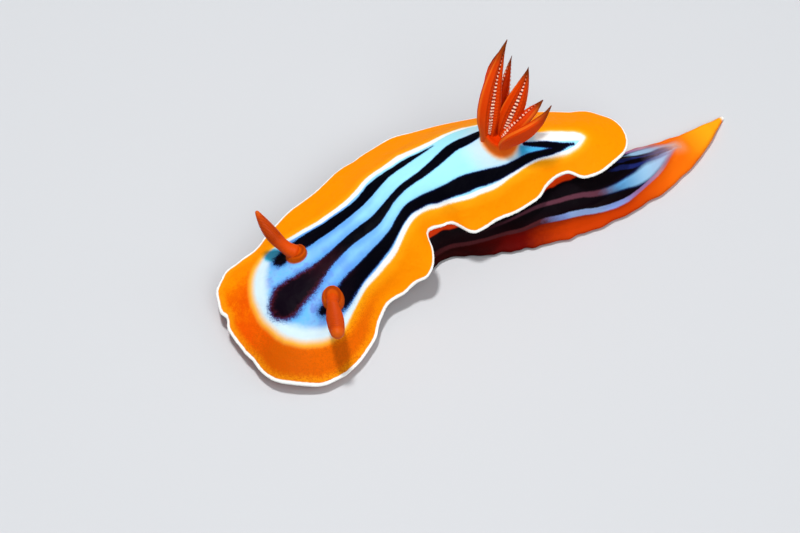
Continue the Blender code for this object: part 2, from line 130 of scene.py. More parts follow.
LEAF_SINK = 0.15      # how far the root goes into the cup's floor
LEAF_RINGS = 340
BEAD_ROW = 0.15       # half-width of a row of lamellae
BEAD_PITCH = 0.33     # from one lamella to the next
LEAF_BELLY = 0.78     # under 1, the widest place lies nearer the root
FRINGED_LEAVES = (3,)   # these carry their lamellae at both edges, the others in the middle

# Small waves of the rim: s and u of the place, how far it stands out, how far along it reaches
RIM_WAVES = (
    (1.6, -5.8, -0.45, 1.5), (0.2, -2, -0.12, 0.6), (2.8, -6.4, -0.2, 1), (6.9, -6.5, 0.18, 1.5),
    (9, -5.6, 0.22, 1), (12.6, -4.4, 0.14, 0.8), (15, -4.9, 0.2, 0.6), (17.3, -3.2, -0.35, 0.6),
    (18.8, -3.1, 0.28, 0.55), (24.2, -4.9, -0.1, 1.4), (29.5, -3.8, -0.2, 0.8), (35.4, -2.7, -0.32, 1.5),
    (0.3, 2.5, -0.32, 0.5), (1.4, 4.8, 0.2, 0.7), (2.8, 5.7, 0.25, 1), (5.2, 6, 0.25, 1.3),
    (7.5, 6.3, 0.22, 1.2), (17.8, 6.7, -0.12, 0.5), (20.6, 6, 0.2, 1), (35.6, 2.5, -0.18, 0.9))

# Markings, in the same frame. Inner border of the orange band: s, right u, left u
BORDER = (
    (2.7, 0.3, -0.3), (2.8, 1.1, -1.2), (3, 1.75, -2.05), (3.5, 2.75, -2.9), (4, 3.4, -3.45),
    (4.6, 3.95, -3.8), (5.4, 4.45, -4.15), (6.3, 4.85, -4.28), (7.2, 4.95, -4.25), (8.2, 4.75, -3.85),
    (9.4, 4.4, -3.3), (10.6, 4.05, -2.88), (12.2, 3.68, -2.72), (14, 3.38, -2.64), (15.2, 3.45, -2.3),
    (16.5, 3.7, -1.92), (17.6, 3.65, -1.8), (18.5, 3.5, -1.95), (19.5, 3.48, -2.3), (20.6, 3.15, -2.8),
    (21.7, 2.9, -3.07), (23.5, 3.12, -3.1), (25.2, 3.2, -3), (26.8, 2.5, -2.7), (28.2, 1.1, -2.25),
    (29.4, 0.25, -1.9), (30.6, 0.22, -1.67), (32, 0.15, -1.5), (32.8, 0.1, -1.1), (33.2, -0.15, -0.7),
    (33.35, -0.35, -0.5))
# Width of the white line inside that border: s, right, left
WHITE_LINE = (
    (2.7, 0.65, 0.65), (3.3, 0.9, 0.8), (4.2, 1.15, 0.95), (5.2, 1.05, 0.9), (6.2, 0.75, 0.7),
    (7.4, 0.4, 0.5), (9, 0.38, 0.32), (11, 0.46, 0.28), (14, 0.46, 0.36), (15.4, 0.46, 0.36),
    (17.5, 0.52, 0.24), (20, 0.7, 0.24), (22, 0.5, 0.26), (25, 0.35, 0.26), (33.4, 0.3, 0.24))
# Black stripes: s, u, half-width
MEDIAN_STRIPE = (
    (4.5, -0.4, 1.2), (5, -0.1, 1.26), (5.6, -0.04, 1.18), (6.3, -0.06, 1.04), (7, -0.04, 0.9),
    (7.7, 0, 0.72), (8.6, 0.08, 0.56), (10, 0.17, 0.46), (11.5, 0.2, 0.45), (12.8, 0.04, 0.48),
    (13.9, -0.11, 0.46), (15.1, 0.03, 0.38), (16.1, 0.22, 0.31), (17.2, 0.33, 0.32), (18.4, 0.26, 0.32),
    (19.5, 0.18, 0.35), (20.6, 0.26, 0.4), (21.6, 0.5, 0.45), (22.7, 0.82, 0.5), (24, 0.95, 0.47),
    (25, 1.15, 0.4), (25.8, 1.35, 0.3))
LEFT_STRIPE = (
    (6.5, -2.62, 0.24), (7.2, -2.75, 0.32), (7.9, -2.68, 0.58), (8.8, -2.46, 0.6), (9.8, -2.18, 0.54),
    (11, -1.98, 0.46), (12.4, -1.88, 0.42), (13.7, -1.83, 0.38), (14.6, -1.7, 0.33), (15.5, -1.45, 0.33),
    (16.6, -1.22, 0.35), (17.7, -1.27, 0.32), (18.6, -1.4, 0.31), (19.5, -1.68, 0.36), (20.6, -2.02, 0.44),
    (21.7, -2.15, 0.53), (23, -2.23, 0.48), (24.6, -2.3, 0.42), (26.2, -2.3, 0.33), (27.3, -2.08, 0.3),
    (28.4, -1.74, 0.28), (29.4, -1.53, 0.23), (30.4, -1.32, 0.22), (31.3, -1.12, 0.19), (31.9, -0.98, 0.1))
RIGHT_STRIPE = (
    (6.85, 3.35, 0.52), (7.8, 3.42, 0.5), (8.8, 3.22, 0.6), (9.8, 2.98, 0.64), (10.8, 2.74, 0.6),
    (12, 2.5, 0.56), (13.4, 2.28, 0.5), (14.5, 2.2, 0.47), (15.4, 2.3, 0.52), (16.2, 2.44, 0.52),
    (17.2, 2.45, 0.42), (18.4, 2.31, 0.33), (19.4, 2.22, 0.31), (20.2, 2.1, 0.22), (20.9, 2.03, 0.13),
    (21.6, 2.08, 0.05))
REAR_STRIPE = (
    (28.3, -0.72, 0.14), (29, -0.82, 0.19), (29.8, -0.85, 0.24), (30.6, -0.94, 0.25), (31.4, -1, 0.2),
    (32.2, -0.93, 0.1))
# Lines along the flank and the tail: s, share of the way up the side, half of that share
LOW_LINE = (
    (14, 0.12, 0.02), (19, 0.12, 0.02), (22, 0.17, 0.02), (25, 0.23, 0.02), (27, 0.25, 0.025),
    (29, 0.32, 0.035), (31, 0.335, 0.045), (33, 0.295, 0.05), (35, 0.27, 0.05), (36, 0.285, 0.045),
    (37, 0.35, 0.04), (38, 0.465, 0.045), (39, 0.6, 0.05), (40, 0.8, 0.06), (41, 1, 0.1))
NEAR_LINE = (
    (16, 0.25, 0.02), (23, 0.345, 0.02), (27, 0.475, 0.02), (29, 0.565, 0.03), (31, 0.605, 0.035),
    (33, 0.57, 0.04), (34.5, 0.585, 0.045), (36, 0.625, 0.085), (37, 0.64, 0.14), (38, 0.71, 0.18),
    (39, 0.8, 0.14), (40, 0.91, 0.08), (40.8, 1, 0.05))
FAR_LINE = (
    (16, 0.25, 0.02), (23, 0.345, 0.02), (29, 0.565, 0.03), (34.5, 0.585, 0.045), (36, 0.6, 0.13),
    (38, 0.52, 0.28), (39, 0.53, 0.27), (40, 0.53, 0.2), (41, 0.7, 0.25))
FAR_LOW_LINE = (
    (14, 0.12, 0.02), (19, 0.12, 0.02), (27, 0.25, 0.025), (31, 0.3, 0.045), (35, 0.22, 0.04),
    (37, 0.19, 0.03), (39, 0.2, 0.035), (40, 0.25, 0.05), (41, 0.55, 0.2))
SHEEN_LINE = (
    (33, 0.88, 0.005), (35.2, 0.9, 0.015), (36, 0.93, 0.035), (37, 0.91, 0.03), (38.2, 0.93, 0.005))

VOXEL = 0.1
SMOOTHING_ROUNDS = 14
MANTLE_ROWS = 64
TRUNK_RINGS = 230
ROUND_SIDES = 72      # sides of the head and the feelers
BATCH = 20000         # points that are placed at once
TAIL_FROM, TAIL_FULL = 33.0, 38.0    # where the body's section turns into the tail's
FEELER_LAMELLAE = 24
FEELER_CLUB = (0.36, 0.58, 0.9, 0.97)   # shares of the length between which the lamellae come and go
FEELER_STEPS = 460

# Camera: the photo's, turned with the animal from the slope of its perch to the level floor
PHOTO_TURN = math.radians(-31)
PHOTO_ELEVATION = math.radians(55)
CAMERA_DISTANCE = 0.3
CAMERA_LENS = 166.05
PHOTO_SIZE = (800, 533)
PIXELS_PER_MM = 12.3
TARGET = (-0.00085, -0.00033, 0)
TARGET_PIXEL = (470, 230)            # where the target shows in the photo
FLOOR_DROP = 0.00002                 # the stage lies a hair under the sole


def curve(knots, values):
    """A smooth function through values at knots, with tangents from the neighbours."""
    knots = np.array(knots, float)
    values = np.array(values, float)
    tangents = np.gradient(values, knots, axis=0)

    def at(x):
        x = np.asarray(x, float)
        i = np.clip(np.searchsorted(knots, x) - 1, 0, len(knots) - 2)
        width = knots[i + 1] - knots[i]
        t = np.clip((x - knots[i]) / width, 0, 1)
        if values.ndim > 1:
            width = width[..., None]
            t = t[..., None]
        a = (1 + 2 * t) * (1 - t) ** 2
        b = t * (1 - t) ** 2
        c = t * t * (3 - 2 * t)
        d = t * t * (t - 1)
        return a * values[i] + b * width * tangents[i] + c * values[i + 1] + d * width * tangents[i + 1]
    return at


def columns(table):
    rows = np.array(table, float)
    return [curve(rows[:, 0], rows[:, i]) for i in range(1, rows.shape[1])]


def unit(vectors):
    return vectors / np.linalg.norm(vectors, axis=-1, keepdims=True)


def round_angles(sides):
    return np.linspace(0, 2 * math.pi, sides, endpoint=False)


def smooth_step(x, low, high):
    t = np.clip((np.asarray(x, float) - low) / (high - low), 0, 1)
    return t * t * (3 - 2 * t)


spine_steps = np.linalg.norm(np.diff(np.array(SPINE), axis=0), axis=1)
spine_at = curve(np.concatenate([[0], np.cumsum(spine_steps)]), SPINE)
SPINE_LENGTH = float(spine_steps.sum())
right_half, left_half, crown_at, right_rim, left_rim = columns(MANTLE)
foot_middle_line, foot_half = columns(FOOT)
dorsal_line = columns(DORSAL)[0]


def place(s, u, z):
    """World points, in millimetres, of points of the bent frame."""
    s, u, z = np.broadcast_arrays(*[np.asarray(v, float) for v in (s, u, z)])
    inside = np.clip(s, 0.05, SPINE_LENGTH - 0.05)
    ahead = spine_at(inside + 0.05)
    behind = spine_at(inside - 0.05)
    along = unit(ahead - behind)
    sideways = np.stack([-along[..., 1], along[..., 0]], -1)
    plan = (ahead + behind) / 2 + along * (s - inside)[..., None] + sideways * u[..., None]
    return np.concatenate([plan, z[..., None]], -1)


def unplace(points):
    """The bent frame's s and u of world points."""
    knots = np.linspace(-1.0, TAIL_TIP + 0.6, 480)
    line = place(knots, 0, 0)[:, :2]
    ahead = unit(np.gradient(line, axis=0))
    s = np.empty(len(points))
    u = np.empty(len(points))
    for start in range(0, len(points), BATCH):
        batch = slice(start, start + BATCH)
        part = points[batch, None, :2] - line[None]
        i = (part ** 2).sum(-1).argmin(1)
        offset = part[np.arange(len(i)), i]
        s[batch] = knots[i] + (offset * ahead[i]).sum(-1)
        u[batch] = ahead[i][:, 0] * offset[:, 1] - ahead[i][:, 1] * offset[:, 0]
    return s, u


def fold(side, s):
    pull = np.zeros_like(s)
    lift = np.zeros_like(s)
    for fold_side, middle, half_length, pull_in, lift_up in FOLDS:
        share = np.exp(-np.abs((s - middle) / half_length) ** 3) * (side == fold_side)
        pull += share * pull_in
        lift += share * lift_up
    return pull, lift


def half_width(side, s):
    return np.where(side > 0, right_half(s), left_half(s)) - fold(side, s)[0]


def rim_height(side, s):
    return np.where(side > 0, right_rim(s), left_rim(s)) + fold(side, s)[1]


def thickness(r):
    return CROWN_THICKNESS + (RIM_THICKNESS - CROWN_THICKNESS) * r


def mantle_top(s, u):
    """Share of the way to the rim, and height of the mantle's upper face, over points of the plan."""
    s, u = np.broadcast_arrays(np.asarray(s, float), np.asarray(u, float))
    side = np.where(u >= 0, 1, -1)
    centre = np.clip(s, FRONT_FAN, REAR_FAN)
    front = s < FRONT_FAN
    reach = np.where(front, FRONT_REACH, REAR_REACH)
    power = np.where(front, FRONT_SQUARE, REAR_SQUARE)
    end_rim = np.where(front, FRONT_RIM, REAR_RIM)
    across = np.abs(u) / half_width(side, centre)
    along = np.abs(s - centre) / reach
    r = (across ** power + along ** power) ** (1 / power)
    sideways = np.where(r > 0, across / np.maximum(r, 1e-6), 0)
    side_rim = rim_height(side, centre)
    rim = np.where(along > 0, end_rim + (side_rim - end_rim) * sideways ** 2, side_rim)
    crown = crown_at(centre)
    return r, rim + (crown - rim) * np.cos(math.pi / 2 * np.minimum(r, 1)) ** DOME


def fan_rim(centre, reach, power, turn):
    """Points of the rim of an end fan: turn runs from 0 at the left side to 1 at the right side."""
    angle = math.pi * turn
    side = np.where(turn > 0.5, 1, -1)
    across = np.abs(np.cos(angle)) ** (2 / power)
    along = np.abs(np.sin(angle)) ** (2 / power)
    direction = -1 if centre == FRONT_FAN else 1
    return centre + direction * reach * along, side * half_width(side, np.full_like(turn, centre)) * across


def rim_line():
    """The closed outline of the mantle: ridge s, rim s and rim u, from the left rear round the front."""
    stations = np.linspace(FRONT_FAN, REAR_FAN, 260)
    turn = np.linspace(0, 1, 90)[1:-1]
    left = half_width(-1, stations)
    right = half_width(1, stations)
    front = fan_rim(FRONT_FAN, FRONT_REACH, FRONT_SQUARE, turn)
    rear = fan_rim(REAR_FAN, REAR_REACH, REAR_SQUARE, turn)
    ridge = np.concatenate([stations[::-1], turn * 0 + FRONT_FAN, stations, turn * 0 + REAR_FAN])
    rim_s = np.concatenate([stations[::-1], front[0], stations, rear[0][::-1]])
    rim_u = np.concatenate([-left[::-1], front[1], right, rear[1][::-1]])
    # With s to the right and u upwards the outline runs clockwise, so outward is on its left
    ds = np.gradient(rim_s)
    du = np.gradient(rim_u)
    length = np.maximum(np.hypot(ds, du), 1e-9)
    out = np.zeros_like(rim_s)
    for wave_s, wave_u, stand, reach in RIM_WAVES:
        out += stand * np.exp(-((rim_s - wave_s) ** 2 + (rim_u - wave_u) ** 2) / reach ** 2)
    return ridge, rim_s - du / length * out, rim_u + ds / length * out


def mesh_from(name, points, faces):
    mesh = bpy.data.meshes.new(name)
    mesh.from_pydata([tuple(p) for p in points], [], [tuple(f) for f in faces])
    mesh.update()
    return mesh


def grid_faces(rows, row_length):
    """Faces between rows of points, each row a closed ring."""
    i = np.arange(rows - 1)[:, None] * row_length
    j = np.arange(row_length)[None]
    beside = (j + 1) % row_length
    corners = np.broadcast_arrays(i + j, i + beside, i + row_length + beside, i + row_length + j)
    return np.stack(corners, -1).reshape(-1, 4)


def store(mesh, values):
    """Keeps named values at the points of a mesh, for its material."""
    for name, value in values.items():
        layer = mesh.attributes.new(name, "FLOAT", "POINT")
        layer.data.foreach_set("value", np.ascontiguousarray(value, np.float32))


def add_piece(name, data):
    piece = bpy.data.objects.new(name, data)
    bpy.context.collection.objects.link(piece)
    return piece


def loft_mesh(name, rings):
    """A closed mesh through rings of points, capped by a fan at both ends."""
    rings = np.asarray(rings, float)
    count, sides = rings.shape[:2]
    points = rings.reshape(-1, 3)
    faces = [tuple(f) for f in grid_faces(count, sides)]
    ends = [rings[0].mean(0), rings[-1].mean(0)]
    first = len(points)
    for j in range(sides):
        k = (j + 1) % sides
        faces.append((k, j, first))
        faces.append(((count - 1) * sides + j, (count - 1) * sides + k, first + 1))
    return mesh_from(name, np.concatenate([points, ends]), faces)


def mantle_mesh():
    ridge, rim_s, rim_u = rim_line()
    rows = 1 - (1 - np.linspace(0, 1, MANTLE_ROWS)) ** 1.6
    s = ridge + (rim_s - ridge) * rows[:, None]
    u = rim_u * rows[:, None]
    r, top = mantle_top(s, u)
    depth = thickness(np.minimum(r, 1))
    inset = (1 - rows[:, None]) * np.hypot(rim_s - ridge, rim_u)
    taper = EDGE_SHARE + (1 - EDGE_SHARE) * smooth_step(inset, 0, EDGE_TAPER)
    thick = depth * taper
    rounded = thick * np.sqrt(1 - (1 - np.clip(inset / RIM_ROUNDING, 0, 1)) ** 2)
    upper = place(s, u, top - (thick - rounded) / 2)
    lower = place(s, u, top - (thick + rounded) / 2)
    points = np.concatenate([upper.reshape(-1, 3), lower.reshape(-1, 3)])
    faces = grid_faces(len(rows), len(ridge))
    below = faces[:, ::-1] + len(rows) * len(ridge)
    mesh = mesh_from("mantle", points, np.concatenate([faces, below]))
    weld(mesh)
    return mesh


def weld(mesh, distance=1e-4):
    bm = bmesh.new()
    bm.from_mesh(mesh)
    bmesh.ops.remove_doubles(bm, verts=bm.verts, dist=distance)
    bmesh.ops.recalc_face_normals(bm, faces=bm.faces[:])
    bm.to_mesh(mesh)
    bm.free()


# Section of the body and of the tail, from the sole's edge to the middle of the back: share of the
# foot's half-width, and height as a share of the foot's margin (first) and of the rise above it
BODY_SECTION = (
    (0.5, 0, 0), (0.88, 0, 0), (0.955, 0.15, 0), (1, 0.5, 0), (0.975, 0.8, 0), (0.9, 1.05, 0),
    (0.84, 1.35, 0.01), (0.79, 1.6, 0.05), (0.76, 1.7, 0.16), (0.745, 1.7, 0.35), (0.74, 1.7, 0.55),
    (0.73, 1.7, 0.75), (0.7, 1.7, 0.93), (0.6, 1.7, 1), (0.4, 1.7, 1), (0.2, 1.7, 1), (0, 1.7, 1))
TAIL_SECTION = (
    (0.5, 0, 0), (0.88, 0, 0), (0.955, 0.15, 0), (1, 0.5, 0), (0.975, 0.8, 0), (0.9, 1, 0.01),
    (0.82, 1.1, 0.05), (0.74, 1.15, 0.13), (0.66, 1.15, 0.26), (0.58, 1.15, 0.4), (0.5, 1.15, 0.54),
    (0.42, 1.15, 0.67), (0.34, 1.15, 0.78), (0.26, 1.15, 0.87), (0.17, 1.15, 0.945), (0.09, 1.15, 0.985),
    (0, 1.15, 1))


def dorsal_at(s):
    """Height of the tail's back, which sinks to a fine point at its end."""
    return dorsal_line(s) * (1 - 0.55 * smooth_step(s, 43.2, TAIL_TIP))


def trunk_top(s, u):
    """Height at which the trunk ends, inside the mantle or at the free back of the tail."""
    r, top = mantle_top(s, u)
    inside = top - thickness(np.minimum(r, 1)) * 0.55 - 2.5 * np.maximum(r - 0.9, 0)
    across = np.clip(np.abs(u - foot_middle_line(s)) / np.maximum(foot_half(s), 0.1), 0, 1)
    free = SOLE_RIM + (dorsal_at(s) - SOLE_RIM) * np.cos(math.pi / 2 * across * 0.75)
    return np.where(s > DORSAL[0][0], np.minimum(inside, free), inside)


def under_the_rim(s, u, z):
    """Draws the upper part of the flank in under the mantle's rim, as a new u."""
    side = np.where(u >= 0, 1, -1)
    centre = np.clip(np.full_like(u, s), FRONT_FAN, REAR_FAN)
    along = np.minimum(np.abs(s - centre) / (FRONT_REACH if s < FRONT_FAN else REAR_REACH), 1)
    across = (1 - along ** REAR_SQUARE) ** (1 / REAR_SQUARE)
    overhang = RIM_OVERHANG * (1 - 0.85 * np.clip(fold(side, centre)[0], 0, 1))
    limit = np.maximum(half_width(side, centre) * across - overhang, 0.2)
    rim = rim_height(side, centre)
    share = smooth_step(z, rim - 2.4, rim - 1.0)
    return side * (np.abs(u) * (1 - share) + np.minimum(np.abs(u), limit) * share)


def trunk_mesh():
    rings = []
    body = curve(range(len(BODY_SECTION)), BODY_SECTION)
    tail = curve(range(len(TAIL_SECTION)), TAIL_SECTION)
    steps = np.linspace(0, len(BODY_SECTION) - 1, 90)
    for s in np.linspace(FOOT_START, TAIL_TIP, TRUNK_RINGS):
        to_tail = smooth_step(s, TAIL_FROM, TAIL_FULL)
        k, margin, rise = (body(steps) * (1 - to_tail) + tail(steps) * to_tail).T
        middle = foot_middle_line(s)
        half = foot_half(s)
        # The margin of the foot is a little wavy
        wave = 1 + 0.018 * math.sin(s * 2.3) + 0.012 * math.sin(s * 4.1 + 1)
        rim = min(SOLE_RIM, float(dorsal_at(s)) * 0.9)
        sides = []
        for side in (1, -1):
            u = middle + side * half * k * (1 + (wave - 1) * smooth_step(k, 0.8, 1))
            base = rim * margin
            top = np.maximum(trunk_top(s, u), base + 0.02)
            z = base + (top - base) * rise
            sides.append(np.stack([under_the_rim(s, u, z), z], -1))
        ring = np.concatenate([sides[0], sides[1][::-1][1:]])
        rings.append(place(s, ring[:, 0], ring[:, 1]))
    return loft_mesh("trunk", rings)


HEAD_START = 1.35
HEAD_END = 6.0
HEAD_SQUARE = 0.85
MOUTH_HEIGHT = 1.0
MOUTH_HALF = (0.85, 0.55)
# Lips roll forward and turn into the mouth: s and share of the mouth's size
LIPS = ((1.2, 0.86), (1.08, 0.74), (1.02, 0.58), (1.06, 0.42), (1.2, 0.3), (1.5, 0.22))


def head_mesh():
    """The head under the front of the mantle, with lips round the mouth."""
    rings = []
    angles = round_angles(ROUND_SIDES)
    across = np.cos(angles)
    upward = np.sin(angles)
    for s in np.linspace(HEAD_END, HEAD_START, 60):
        along = (s - HEAD_START) / (HEAD_END - HEAD_START)
        full = math.sqrt(max(0.0, 1 - (1 - min(along * 2.2, 1)) ** 2))
        half = 0.75 + 1.5 * full
        low = 0.3 + 0.12 * (1 - full)
        high = float(mantle_top(s, 0.0)[1]) - 0.9
        lip_top = MOUTH_HEIGHT + MOUTH_HALF[1]
        high = lip_top + (high - lip_top) * (0.35 + 0.65 * full)
        middle = (high + low) / 2
        u = half * np.sign(across) * np.abs(across) ** HEAD_SQUARE
        z = middle + (high - low) / 2 * np.sign(upward) * np.abs(upward) ** HEAD_SQUARE
        rings.append(place(s, u, z))
    for s, size in LIPS:
        rings.append(place(s, MOUTH_HALF[0] * size * across, MOUTH_HEIGHT + MOUTH_HALF[1] * size * upward))
    return loft_mesh("head", rings)


def tube_rings(path, radii, sides):
    """Rings of points round a path. Each has one radius, or one for each of its sides."""
    along = unit(np.gradient(path, axis=0))
    across = unit(np.cross(along, (0, 0, 1.0)))
    over = np.cross(across, along)
    angles = round_angles(sides)
    out = across[:, None] * np.cos(angles)[None, :, None] + over[:, None] * np.sin(angles)[None, :, None]
    return path[:, None] + out * radii[..., None]


def oral_tentacle_mesh(side):
    t = np.linspace(-0.35, 1, 40)
    start = place(2.3, side * 1.95, 0.72)
    end = place(1.7, side * 3.65, 0.62)
    path = start + (end - start) * t[:, None]
    path[:, 2] -= 0.12 * np.sin(math.pi * np.clip(t, 0, 1))
    radii = 0.4 * np.sqrt(np.clip(1 - np.clip(t, 0, 1) ** 2.6, 0, 1)) * (1 - 0.25 * np.clip(t, 0, 1))
    return loft_mesh("oral_tentacle", tube_rings(path, np.maximum(radii, 0.01)[:, None], 32))


def mound_mesh(s0, u0, profile, sink):
    """A raised ring on the mantle. Its profile gives radius and lift above the mantle's upper face."""
    along = curve(range(len(profile)), profile)(np.linspace(0, len(profile) - 1, 60))
    angles = round_angles(96)
    rings = []
    for radius, lift in np.concatenate([along, [(along[-1][0], -sink), (0.01, -sink)]]):
        s = s0 + radius * np.cos(angles)
        u = u0 + radius * np.sin(angles)
        rings.append(place(s, u, mantle_top(s, u)[1] + lift))
    return loft_mesh("mound", rings)


SHEATH_PROFILE = ((0.02, 0.74), (0.4, 0.74), (0.52, 0.715), (0.6, 0.74), (0.67, 0.72), (0.74, 0.62),
                  (0.8, 0.44), (SHEATH_RADIUS, 0.26), (0.9, 0.1), (1.05, 0.0), (1.4, -0.15))
GILL_PROFILE = ((0.02, 0.5), (0.5, 0.55), (0.8, 0.75), (1.0, 0.98), (1.1, 1.02), (1.2, 0.92), (1.28, 0.7),
                (1.34, 0.42), (1.42, 0.2), (1.55, 0.08), (1.8, 0.02), (COLLAR_OUTER, 0.0),
                (COLLAR_OUTER + 0.4, -0.12))


def joined_skin():
    """All flesh of the body in one closed surface, in millimetres."""
    parts = [mantle_mesh(), trunk_mesh(), head_mesh(), oral_tentacle_mesh(1), oral_tentacle_mesh(-1)]
    for _, base, _ in RHINOPHORES:
        parts.append(mound_mesh(*base, SHEATH_PROFILE, 0.9))
    parts.append(mound_mesh(GILL_S, GILL_U, GILL_PROFILE, 1.0))
    bm = bmesh.new()
    for mesh in parts:
        bm.from_mesh(mesh)
    whole = bpy.data.meshes.new("skin")
    bm.to_mesh(whole)
    bm.free()
    piece = add_piece("skin", whole)
    remesh = piece.modifiers.new("one_surface", "REMESH")
    remesh.mode = "VOXEL"
    remesh.voxel_size = VOXEL
    remesh.adaptivity = 0
    evaluated = piece.evaluated_get(bpy.context.evaluated_depsgraph_get())
    mesh = bpy.data.meshes.new_from_object(evaluated)
    piece.modifiers.clear()
    piece.data = mesh
    return piece


def read_points(mesh):
    flat = np.empty(len(mesh.vertices) * 3)
    mesh.vertices.foreach_get("co", flat)
    return flat.reshape(-1, 3)


def write_points(mesh, points):
    mesh.vertices.foreach_set("co", points.ravel())
    mesh.update()


def relax(mesh, points, rounds):
    """Evens out the steps of the voxels without shrinking the shape."""
    edges = np.empty(len(mesh.edges) * 2, int)
    mesh.edges.foreach_get("vertices", edges)
    a, b = edges.reshape(-1, 2).T
    count = np.bincount(a, minlength=len(points)) + np.bincount(b, minlength=len(points))
    for i in range(rounds):
        total = np.empty_like(points)
        for axis in range(3):
            total[:, axis] = (np.bincount(a, points[b, axis], len(points))
                              + np.bincount(b, points[a, axis], len(points)))
        mean = total / count[:, None]
        points = points + (mean - points) * (0.6 if i % 2 == 0 else -0.62)
    return points


def distance_to_line(s, u, line):
    """Shortest distance in the plan to a line of points."""
    best = np.full(len(s), 1e9)
    line = np.asarray(line, float)
    for (s0, u0), (s1, u1) in zip(line[:-1], line[1:]):
        ds, du = s1 - s0, u1 - u0
        t = np.clip(((s - s0) * ds + (u - u0) * du) / max(ds * ds + du * du, 1e-12), 0, 1)
        best = np.minimum(best, (s - s0 - ds * t) ** 2 + (u - u0 - du * t) ** 2)
    return np.sqrt(best)


def distance_to_stripe(s, u, rows, step=0.2):
    """Distance in the plan to the edge of a stripe, negative inside it."""
    rows = np.array(rows, float)
    centre, half = columns(rows)
    best = np.full(len(s), 1e9)
    for knot in np.arange(rows[0, 0], rows[-1, 0] + step, step):
        best = np.minimum(best, np.hypot(s - knot, u - centre(knot)) - half(knot))
    return best


def along_rows(table, s):
    """The columns of a table, at each s."""
    return [column(np.clip(s, table[0][0], table[-1][0])) for column in columns(table)]


def markings(mesh, points):
    """Stores, at each point of the skin, how far it lies from the lines of the pattern."""
    s, u = unplace(points)
    z = points[:, 2]
    r, top = mantle_top(s, u)
    depth = thickness(np.minimum(r, 1))
    _, rim_s, rim_u = rim_line()
    outline = np.stack([np.append(rim_s, rim_s[0]), np.append(rim_u, rim_u[0])], -1)[::2]
    rim = distance_to_line(s, u, outline) * np.where(within(s, u, outline), 1, -1)

    border_s = np.linspace(BORDER[0][0], BORDER[-1][0], 120)
    right, left = columns(BORDER)
    loop = np.concatenate([np.stack([border_s, right(border_s)], -1),
                           np.stack([border_s, left(border_s)], -1)[::-1],
                           [(border_s[0], right(border_s[0]))]])
    inside = (s > BORDER[0][0]) & (s < BORDER[-1][0]) & (u < right(s)) & (u > left(s))
    border = distance_to_line(s, u, loop) * np.where(inside, 1, -1)
    right_white, left_white = along_rows(WHITE_LINE, s)
    side_share = smooth_step(u, -0.6, 0.6)
    white = border / (right_white * side_share + left_white * (1 - side_share))

    near = (np.abs(u) < 6) & (s > 2) & (s < 35)
    stripe = np.full(len(s), 5.0)
    rows = (MEDIAN_STRIPE, LEFT_STRIPE, RIGHT_STRIPE, REAR_STRIPE)
    stripe[near] = np.min([distance_to_stripe(s[near], u[near], stripe_rows) for stripe_rows in rows], axis=0)

    sheath = np.min([np.hypot(s - base[0], u - base[1]) for _, base, _ in RHINOPHORES], axis=0)
    gill = np.hypot(s - GILL_S, u - GILL_U)
    # Under the folds of the rim the mantle's underside shows down to the flank
    pulled = smooth_step(fold(np.where(u >= 0, 1, -1), s)[0], 0.3, 0.9)
    on_mantle = smooth_step(z - (top - depth) + 0.5 * pulled, -0.12, 0.05) * (r < 1.15)
    on_mantle = np.where(s < 0.9, 1.0, on_mantle * smooth_step(rim, -0.3, -0.12))

    middle = foot_middle_line(s)
    half = np.maximum(foot_half(s), 0.15)
    height = np.maximum(trunk_top(s, middle), 0.5)
    round_body = np.arctan2(z / height, (u - middle) / half) / (math.pi / 2)
    girth = 1 - np.abs(round_body - 1)
    scale = (half + height) / 2 * math.pi / 2
    lines = {}
    tables = (("low_line", LOW_LINE, FAR_LOW_LINE), ("high_line", NEAR_LINE, FAR_LINE),
              ("sheen_line", SHEEN_LINE, SHEEN_LINE))
    for name, near_table, far_table in tables:
        centre, width = np.where(round_body > 1, along_rows(near_table, s), along_rows(far_table, s))
        lines[name] = (np.abs(girth - centre) - width) * scale
        if name == "low_line":
            lines["margin"] = (centre - girth) * scale
    store(mesh, {"s": s, "u": u, "lift": z - (top - depth / 2), "rim": rim, "border": border, "white": white,
                 "stripe": stripe, "sheath": sheath, "gill": gill, "mantle": on_mantle, "girth": girth,
                 **lines})
    return on_mantle, rim


def within(s, u, outline):
    """Which points lie inside a closed outline."""
    inside = np.zeros(len(s), bool)
    for (s0, u0), (s1, u1) in zip(outline[:-1], outline[1:]):
        if s0 == s1:
            continue
        crossing = (s0 <= s) != (s1 <= s)
        inside ^= crossing & (u < u0 + (s - s0) / (s1 - s0) * (u1 - u0))
    return inside


def ripple(points, scale, seed):
    """Smooth random values between about -1 and 1, whose grain is 1 / scale millimetres."""
    offset = Vector((seed * 13.7, seed * 5.1, seed * 9.3))
    return np.array([noise.noise(Vector(p) * scale + offset) for p in points])


def relief(mesh, points, on_mantle, rim):
    """Soft swellings and fine warts, fading out towards the mantle's rim and the sole."""
    normals = np.empty(len(points) * 3)
    mesh.vertices.foreach_get("normal", normals)
    normals = normals.reshape(-1, 3)
    inward = smooth_step(rim, 0.15, 0.9)
    swelling = ripple(points, 0.55, 1) * 0.055 + ripple(points, 1.6, 2) * 0.025
    warts = np.maximum(ripple(points, 4.2, 3), 0) * 0.03
    height = np.where(on_mantle > 0.5, swelling * inward + warts * inward, swelling * 0.5 + warts * 0.6)
    height *= smooth_step(points[:, 2], 0.05, 0.5)
    return points + normals * height[:, None]


# Beginnings of the names of the nodes that the skin replaces
COVERED = ("mantle_", "head", "body_", "foot_", "tail", "rhinophore_sheath", "gill_collar", "oral_tentacle")


